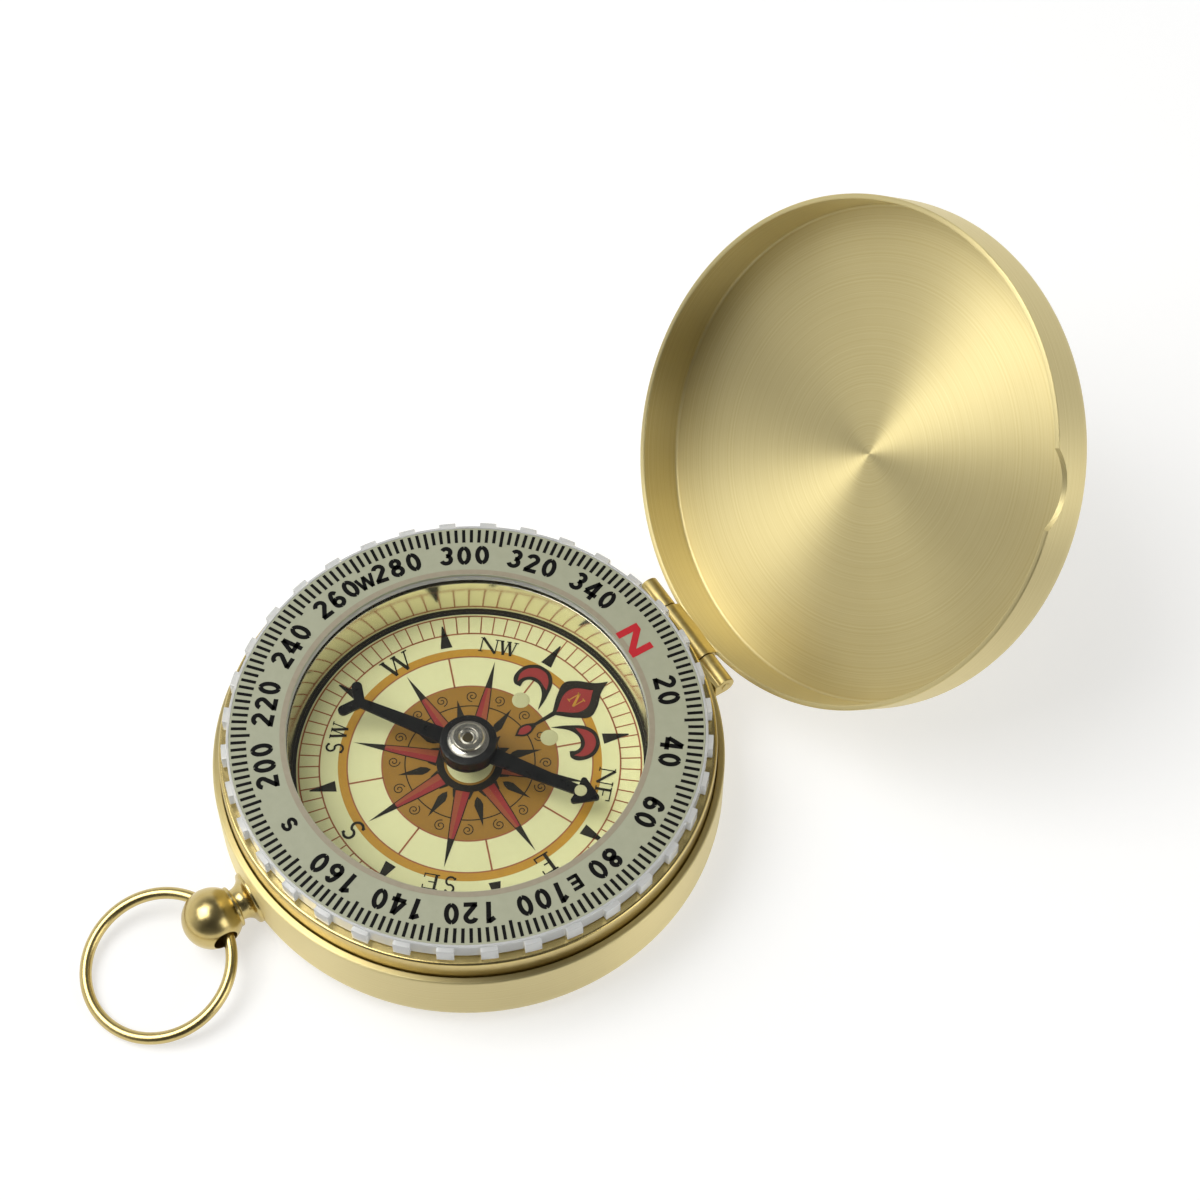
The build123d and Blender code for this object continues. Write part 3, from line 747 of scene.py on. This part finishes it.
def plain_glyphs(height, half):
    """Centre lines of the degree scale's capitals and figures, foot on y = 0 and middle on x = 0."""
    low, middle, high = 0.1 * height, 0.5 * height, 0.9 * height
    bowl, belly, head = 0.2 * height, 0.21 * height, 0.18 * height
    upper, lower, belly_middle = (0, high - bowl), (0, low + bowl), (0, low + belly)
    one_stem, four_stem, four_bar = 0.3 * half, 0.5 * half, 0.3 * height
    return {
        "0": full_oval((0, middle), half, high - middle),
        "1": [[(one_stem, 0), (one_stem, height)],
              [(-0.9 * half, 0.74 * height), (one_stem, 0.93 * height)]],
        "2": [oval(upper, half, bowl, 170, -25) + [(-half, low)],
              [(-1.3 * half, low), (1.4 * half, low)]],
        "3": [oval(upper, 0.9 * half, bowl, 155, -90), oval(lower, half, bowl, 90, -160)],
        "4": [[(0.35 * half, height), (-1.25 * half, 0.33 * height)],
              [(-1.4 * half, four_bar), (1.5 * half, four_bar)],
              [(four_stem, 0), (four_stem, height)]],
        "6": [*full_oval(belly_middle, half, belly),
              oval(belly_middle, half, high - low - belly, 180, 50)],
        "8": full_oval((0, high - head), 0.85 * half, head) + full_oval(lower, half, bowl),
        "E": [[(-half, 0), (-half, height)], [(-half, low), (1.2 * half, low)],
              [(-half, middle), (half, middle)], [(-half, high), (1.2 * half, high)]],
        "S": [oval(upper, half, bowl, 20, 270) + oval(lower, half, bowl, 90, -160)[1:]],
        "W": [[(-2 * half, height), (-half, 0)], [(-half, 0), (0, height)],
              [(0, height), (half, 0)], [(half, 0), (2 * half, height)]],
    }


def plain_words(marks, height, half, weight, pitch):
    """Strokes of plain lettering that reads from the centre; a mark is (text, bearing, middle radius)."""
    glyphs = plain_glyphs(height, half)
    strokes = []
    for text, bearing, radius in marks:
        for index, letter in enumerate(text):
            x = pitch * (index - (len(text) - 1) / 2)
            for path in glyphs[letter]:
                stroke = shifted(ribbon(path, weight), x, radius - height / 2)
                strokes.append((carried(stroke, bearing), 1, 0))
    return strokes


def make_scale_print():
    """Degree ticks, numbers, plain letters and the red north mark, inside a grey band that paints the look of
    light through the clear rim.
    """
    # The grey band inside the scale is painted for the light seen through the clear rim round the window
    border = (window_radius + 0.06, 18.1)
    on_scale(print_layer("scale_border", 0, bands=[border], floor=scale_top), painted_clear_rim)
    tick_out, tick_in, tick_long, tick_half = 22.8, 21.3, 20.95, 0.16
    # The tens between the numbers reach a little farther in
    longer = carried(bar(tick_half, tick_long, tick_in), 10)
    ticks = [(bar(tick_half, tick_in, tick_out), 180, 358), (longer, 18, 340)]
    on_scale(print_layer("scale_ticks", 0, ticks, floor=scale_top), black_ink)
    number_radius, letter_radius = 19.75, 19.6
    marks = [(str(degree), degree, number_radius) for degree in range(20, 360, 20) if degree != 180]
    numbers = plain_words(marks, height=2.2, half=0.47, weight=0.46, pitch=1.8)
    on_scale(print_layer("scale_numbers", 0, numbers, floor=scale_top), black_ink)
    marks = [("E", 90, letter_radius), ("S", 180, letter_radius), ("W", 270, letter_radius)]
    letters = plain_words(marks, height=1.55, half=0.42, weight=0.36, pitch=0)
    on_scale(print_layer("scale_letters", 0, letters, floor=scale_top), black_ink)
    foot, height, half, stem, corner, lift = 17.75, 2.4, 1.64, 0.72, 0.85, 0.8
    north = [(-half, 0), (-half, height), (corner - half, height), (half - stem, lift), (half - stem, height)]
    north += [(-x, height - y) for x, y in north]
    north = carried(shifted(north, 0, foot), 1)
    on_scale(print_layer("scale_north", 1, [(north, 1, 0)], floor=scale_top), signal_red_ink)


def make_card():
    """The plain card under the print."""
    card = turned("card", rounded([
        (card_bore, card_under, 0), (card_radius, card_under, 0), (card_radius, card_top, card_edge),
        (card_bore, card_top, card_edge)]))
    fit(card, "case", card_stock, "card_print", "dial_card")


def serif(letter, height, width):
    """Strokes of a roman capital N, W or E, its foot at the origin and its middle on x = 0."""
    half, thick, thin, foot = width / 2, 0.17 * height, 0.07 * height, 0.14 * height
    low, high = thin / 2, height - thin / 2
    if letter == "N":
        lines = [((-half, 0), (-half, height), thin), ((half, 0), (half, height), thin),
                 ((-half, height), (half, 0), thick)]
        serifs = [(-half, low), (-half, high), (half, high)]
    elif letter == "W":
        inner = 0.25 * width
        lines = [((-half, height), (-inner, 0), thick), ((-inner, 0), (0, height), thin),
                 ((0, height), (inner, 0), thick), ((inner, 0), (half, height), thin)]
        serifs = [(-half, high), (0, high), (half, high)]
    else:
        stem = -half + thick / 2
        middle = 0.52 * height
        lines = [((stem, 0), (stem, height), thick), ((-half, low), (half, low), thin),
                 ((-half, high), (half, high), thin), ((-half, middle), (0.3 * half, middle), thin),
                 ((half, 0), (half, 0.28 * height), thin), ((half, 0.74 * height), (half, height), thin)]
        serifs = [(stem - 0.3 * thick, low), (stem - 0.3 * thick, high)]
    strokes = [ribbon([start, end], weight) for start, end, weight in lines]
    strokes += [ribbon([(x - foot, y), (x + foot, y)], thin) for x, y in serifs]
    return strokes


def serif_s(height):
    """A roman S: two bowls that meet in the middle, with a tick at each end."""
    upper, lower = 0.25 * height, 0.27 * height
    path = arc((0, height - upper), upper, 25, 270, 14) + arc((0, lower), lower, 90, -155, 14)[1:]
    weight, tick = 0.13 * height, 0.06 * height
    first, last = path[0], path[-1]
    ends = [ribbon([first, (first[0], height)], tick), ribbon([last, (last[0], 0)], tick)]
    return [ribbon(path, weight), *ends]


def make_card_letters():
    """The roman letters round the card, large at the quarters and small between them."""
    middle, pair_pitch = 13.45, 1.95
    large, small, e_width = 2.1, 1.65, 1.3
    marks = [("W", 270, large, 2.6), ("S", 180, large, 0), ("E", 90, large, e_width)]
    marks += [(text, bearing, small, 1.5) for text, bearing in (
        ("NW", 315), ("NE", 45), ("SW", 225), ("SE", 135))]
    strokes = []
    for text, bearing, height, width in marks:
        for index, letter in enumerate(text):
            x = pair_pitch * (index - (len(text) - 1) / 2)
            if letter == "S":
                glyph = serif_s(height)
            else:
                glyph = serif(letter, height, e_width if letter == "E" else width)
            strokes += [carried(shifted(stroke, x, middle - height / 2), bearing) for stroke in glyph]
    on_card(print_layer("card_letters", 3, [(stroke, 1, 0) for stroke in strokes]), umber_ink)


def make_card_rings():
    """The coloured disc and band, the fine rings with their ticks, the pointed marks, and a dark edge ring
    that is partly the card's border and partly painted shade of its gap to the wall.
    """
    disc, band = (2.3, 8.65), (12.1, 13.0)
    on_card(print_layer("card_sienna", 0, bands=[disc]), sienna_ink)
    on_card(print_layer("card_ochre", 0, bands=[band]), ochre_ink)
    tick = carried(bar(0.065, 14.85, 16.85), 0.75)
    spoke = carried(bar(0.09, 8.6, 12.1), 22.5)
    rings = [(8.58, 8.74), (12.02, 12.16), (14.74, 14.9), (16.78, 16.94)]
    on_card(print_layer("card_rust_lines", 1, [(tick, 80, 355.5), (spoke, 8, 315)], rings), rust_ink)
    wedge = carried([(-0.6, 13.35), (0.6, 13.35), (0.07, 15.95), (-0.07, 15.95)], 22.5)
    flame = carried([(-0.42, 3.3), (0.42, 3.3), (0, 4.2)], 11.25)
    edge_gap = 0.005
    # The last ring, out to the wall, is partly the card's dark border and partly painted shade in the narrow
    # gap between card and wall
    rings = [(2.55, 3.3), (6.34, 6.46), (17.1, dial_ring_bore - edge_gap)]
    on_card(print_layer("card_umber_lines", 1, [(wedge, 8, 315), (flame, 16, 337.5)], rings), umber_ink)


def make_card_star():
    """Seven long points round the rose, with leaves and scrolls between them."""
    body = [(-0.82, 3.2), (0.82, 3.2), (0.52, 7.0), (0, 11.75), (-0.52, 7.0)]
    leaf = [(0, 3.9), (0.3, 4.3), (0.45, 4.85), (0.3, 5.6), (0, 7.2), (-0.3, 5.6), (-0.45, 4.85), (-0.3, 4.3)]
    half = [(0, 3.3), (0.7, 3.3), (0.41, 7.0), (0.25, 8.55), (0, 8.6)]
    steps, widest, shrink, wind, middle = 26, 0.62, 0.85, 560, 7.5
    line, aside = 0.1, 10.5
    turns = [(widest * (1 - shrink * step / steps), math.radians(-90 + wind * step / steps))
             for step in range(steps + 1)]
    scroll = [(radius * math.cos(angle), middle + radius * math.sin(angle)) for radius, angle in turns]
    mirrored = [(-x, y) for x, y in scroll]
    on_card(print_layer("card_star_umber", 2, [
        (carried(body, 45), 7, 270), (carried(leaf, 22.5), 8, 315),
        (carried(ribbon(scroll, line), aside), 8, 315),
        (carried(ribbon(mirrored, line), -aside), 8, 315)]), umber_ink)
    on_card(print_layer("card_star_vermilion", 3, [(carried(half, 45), 7, 270)]), vermilion_ink)
    left = [(-x, y) for x, y in half]
    on_card(print_layer("card_star_crimson", 3, [(carried(left, 45), 7, 270)]), crimson_ink)


def petal(name, knots, level):
    """A flat closed curve of ink; a knot is (x, y, sharp)."""
    bpy.ops.object.select_all(action="DESELECT")
    bpy.ops.curve.primitive_bezier_curve_add()
    shape = bpy.context.object
    shape.name = shape.data.name = name
    line = shape.data
    line.dimensions = "2D"
    line.fill_mode = "BOTH"
    line.extrude = ink / 2
    line.resolution_u = 10
    spline = line.splines[0]
    spline.use_cyclic_u = True
    spline.bezier_points.add(len(knots) - len(spline.bezier_points))
    for knot, (x, y, sharp) in zip(spline.bezier_points, knots):
        knot.co = (x, y, 0)
        knot.handle_left_type = knot.handle_right_type = "VECTOR" if sharp else "AUTO"
    bpy.ops.object.convert(target="MESH")
    lift = Matrix.Translation((0, 0, (card_top + ink * (level + 0.5)) * mm))
    place(shape, lift @ Matrix.Scale(mm, 4))
    bpy.ops.object.mode_set(mode="EDIT")
    close_mesh()
    return shape


def make_fleur():
    """The lily that marks north on the card: a pointed middle leaf, two hooked side leaves and a stem."""
    middle = [(0, 16.4, True), (0.55, 15.3, False), (2.0, 13.6, False), (2.35, 12.7, False),
              (1.7, 11.5, False), (0.25, 9.9, True)]
    stem = [(0.2, 8.6, True), (0.16, 7.75, True), (0.62, 6.35, False), (0, 5.25, True)]
    outline = middle + stem
    outline += [(-x, y, sharp) for x, y, sharp in reversed(outline) if x]
    on_card(petal("fleur_middle", outline, 3), umber_ink)
    side = [(1.15, 8.75, True), (2.0, 10.4, False), (3.3, 11.9, False), (4.6, 12.1, False),
            (5.9, 11.2, False), (6.1, 9.6, False), (5.2, 8.55, False), (4.45, 8.8, True),
            (4.75, 9.6, False), (4.2, 10.3, False), (3.0, 10.35, False)]
    inner_side = [(2.6, 10.75, True), (3.5, 11.55, False), (4.5, 11.75, False), (5.55, 11.0, False),
                  (5.75, 9.8, False), (5.1, 8.9, True), (5.1, 9.75, False), (4.4, 10.65, False)]
    for name, way in (("right", 1), ("left", -1)):
        on_card(petal("fleur_" + name, [(way * x, y, s) for x, y, s in side], 3), umber_ink)
        on_card(petal("fleur_fill_" + name, [(way * x, y, s) for x, y, s in inner_side], 4), crimson_ink)
    heart = [(0, 14.6, True), (1.35, 12.65, False), (0, 10.2, True), (-1.35, 12.65, False)]
    on_card(petal("fleur_heart", heart, 4), crimson_ink)
    bead = [(0, 7.15, False), (0.4, 6.35, False), (0, 5.6, True), (-0.4, 6.35, False)]
    on_card(petal("fleur_bead", bead, 4), crimson_ink)
    letter_foot = 11.9
    letter = [(shifted(stroke, 0, letter_foot), 1, 0) for stroke in serif("N", height=1.35, width=0.85)]
    on_card(print_layer("fleur_letter", 5, letter), ochre_ink)


def make_lume_dots():
    """Two low drops of paint, thickest in the middle."""
    for name, (x, y) in zip(("lume_dot_west", "lume_dot_east"), lume_places):
        dot = turned(name, [
            (0, card_top), (lume_radius, card_top), (lume_radius, card_top + lume_side),
            (lume_radius - lume_inset, card_top + lume_shoulder), (0.5 * lume_radius, card_top + lume_height),
            (0, card_top + lume_height)], ring=False, steps=64)
        place(dot, card_place @ Matrix.Translation((x * mm, y * mm, 0)))
        fit(dot, "case", luminous_paint, "luminous_paint", "north_lume_dots")


# Dial wall and needle bearing

def make_dial_ring():
    """The bright wall between the card and the crystal."""
    ring = turned("bright_wall", rounded([
        (dial_ring_bore, card_under, ring_foot_round), (dial_ring_radius, card_under, ring_foot_round),
        (dial_ring_radius, crystal_under, ring_top_round), (dial_ring_bore, crystal_under, ring_top_round)]))
    fit(ring, "case", bright_foil, "bright_ring", "dial_ring")


def make_hub():
    """Bearing cap: a rounded brim over a flared skirt, with a ringed dish round the stone."""
    skirt = arc((hub_radius, hub_brim_under), hub_brim_under - hub_foot_top, -90, -180, 10)
    spread = (hub_radius - hub_neck) / (hub_brim_under - hub_foot_top)
    skirt = [(hub_radius + (x - hub_radius) * spread, z) for x, z in skirt]
    outline = rounded([
        (hub_sleeve, magnet_top, 0), (hub_sleeve, sleeve_foot, sleeve_round),
        (jewel_bore, sleeve_foot, sleeve_round), (jewel_bore, jewel_top, 0), (jewel_window, jewel_top, 0),
        (jewel_window, window_top, 0), (bead_radius, bead_top, bead_round),
        (dish_foot, dish_floor, bead_round),
        (hub_dish, dish_top, brim_round), (hub_brim, hub_top, brim_round),
        (hub_brim, hub_brim_under, brim_edge), (hub_neck, hub_brim_under, 0)])[:-1]
    cap = turned("hub_cap", outline + skirt[::-1] + [(hub_radius, magnet_top)], steps=small_steps)
    fit(cap, "needle", nickel_plate, "hub_nickel", "needle_hub")


def make_magnet():
    """The ring magnet under the cap."""
    ring = turned("magnet_ring", rounded([
        (magnet_bore, magnet_foot, 0), (magnet_radius, magnet_foot, 0),
        (magnet_radius, magnet_top, magnet_edge), (magnet_bore, magnet_top, 0)]), steps=small_steps)
    fit(ring, "needle", lacquered_ferrite, "magnet_black", "needle_magnet")


make_cup()
make_collar()
make_knuckles()
make_pendant()
make_bow()
make_lid()
make_lid_leaf()
make_lid_heel()
make_dial_ring()
make_card()
make_card_rings()
make_card_star()
make_card_letters()
make_fleur()
make_lume_dots()
make_scale()
make_scale_print()
make_bezel()
make_crystal()
make_hub()
make_magnet()

# The frame's own pieces that show as they are
for node_name, finish in (
        ("hinge_pin", drawn_brass), ("pendant_screw", ground_steel), ("dial_housing", polystyrene),
        ("bezel_snap_ring", ground_steel), ("dial_plate", rolled_aluminium), ("pivot_post", polished_brass),
        ("pivot_pin", ground_steel), ("compass_needle", baked_enamel), ("needle_jewel", polished_garnet),
        ("needle_lume_dot", luminous_paint)):
    for socket in frame["nodes"][node_name].material_slots:
        socket.material = finish


# Floor, lights and camera

def make_floor():
    """White seamless paper, lit from below like a light table, with a tooth of about 0.5 mm."""
    material, tree = blank("seamless_paper")
    coords = add(tree, "ShaderNodeTexCoord")
    grain = 0.5 * mm
    tooth = add(tree, "ShaderNodeTexNoise", {"Vector": coords.outputs["Object"], "Scale": 1 / grain})
    tone = add(tree, "ShaderNodeMix", {
        "Factor": tooth.outputs[0], mix_dark: linear("#C0C0BF"), mix_light: linear("#C8C8C7")},
        data_type="RGBA")
    paper = add(tree, "ShaderNodeBsdfPrincipled", {
        "Base Color": tone.outputs[mix_result], "Roughness": 0.9, "Emission Color": linear("#FFFFFF"),
        "Emission Strength": 0.54})
    add(tree, "ShaderNodeOutputMaterial", {"Surface": paper.outputs[0]})
    floor_width, floor_gap = 6.0, 0.02
    bpy.ops.object.select_all(action="DESELECT")
    bpy.ops.mesh.primitive_plane_add(size=floor_width, location=(0, 0, -floor_gap * mm))
    floor = bpy.context.object
    floor.name = "floor"
    floor.data.materials.append(material)


def make_light(name, direction, distance, size, power):
    """A square soft box that faces the compass from a direction."""
    aim = Vector((0, 0.01, 0.01))
    way = Vector(direction).normalized()
    bpy.ops.object.light_add(type="AREA", location=aim + way * distance)
    light = bpy.context.object
    light.name = name
    light.data.size = size
    light.data.energy = power
    light.rotation_euler = way.to_track_quat("Z", "Y").to_euler()


def make_world():
    """The room: pale behind the compass and low down, dark overhead and on the viewer's side."""
    world = bpy.data.worlds.new("studio")
    bpy.context.scene.world = world
    world.use_nodes = True
    tree = world.node_tree
    tree.nodes.clear()
    towards_viewer = (0.845, -0.534, 0.0)
    pale, dark = 0.9, 0.1
    low, high, bright, dim = 0.3, 0.75, 1.1, 0.14
    way = add(tree, "ShaderNodeTexCoord")
    facing = add(tree, "ShaderNodeVectorMath", {0: way.outputs["Generated"], 1: towards_viewer},
                 operation="DOT_PRODUCT")
    shade = add(tree, "ShaderNodeMapRange", {"Value": facing.outputs["Value"], 1: -1.0, 2: 1.0})
    ramp = add(tree, "ShaderNodeValToRGB", {0: shade.outputs[0]})
    for stop, position, grey in zip(ramp.color_ramp.elements, (0.5, 0.9), (pale, dark)):
        stop.position = position
        stop.color = (grey, grey, grey, 1)
    height = add(tree, "ShaderNodeSeparateXYZ", {0: way.outputs["Generated"]})
    fall = add(tree, "ShaderNodeMapRange", {
        "Value": height.outputs[2], 1: low, 2: high, 3: bright, 4: dim})
    sky = add(tree, "ShaderNodeBackground", {"Color": ramp.outputs[0], "Strength": fall.outputs[0]})
    add(tree, "ShaderNodeOutputWorld", {"Surface": sky.outputs[0]})


def make_camera():
    """The viewpoint, solved from the ticks of the scale, the rim of the lid and the outline of the case."""
    bpy.ops.object.camera_add()
    camera = bpy.context.object
    right = Vector((0.53441, 0.84523, 0))
    up = Vector((-0.71753, 0.45367, 0.52853))
    back = Vector((0.44673, -0.28245, 0.84892))
    eye = Vector((0.123942, -0.063230, 0.259145))
    turn = Matrix((right, up, back)).transposed().to_4x4()
    camera.matrix_world = Matrix.Translation(eye) @ turn
    camera.data.lens = 87.72
    camera.data.sensor_width = 36.0
    camera.data.clip_start = 0.01
    bpy.context.scene.camera = camera


make_floor()
make_light("key", (-0.208, -0.459, 0.864), distance=0.6, size=0.4, power=2.1)
make_light("fill", (-0.35, -0.2, 0.915), distance=0.7, size=0.4, power=0.7)
make_light("side", (0.806, 0.453, 0.383), distance=0.7, size=0.4, power=1.0)
make_world()
make_camera()
bpy.context.scene.view_settings.view_transform = "Standard"
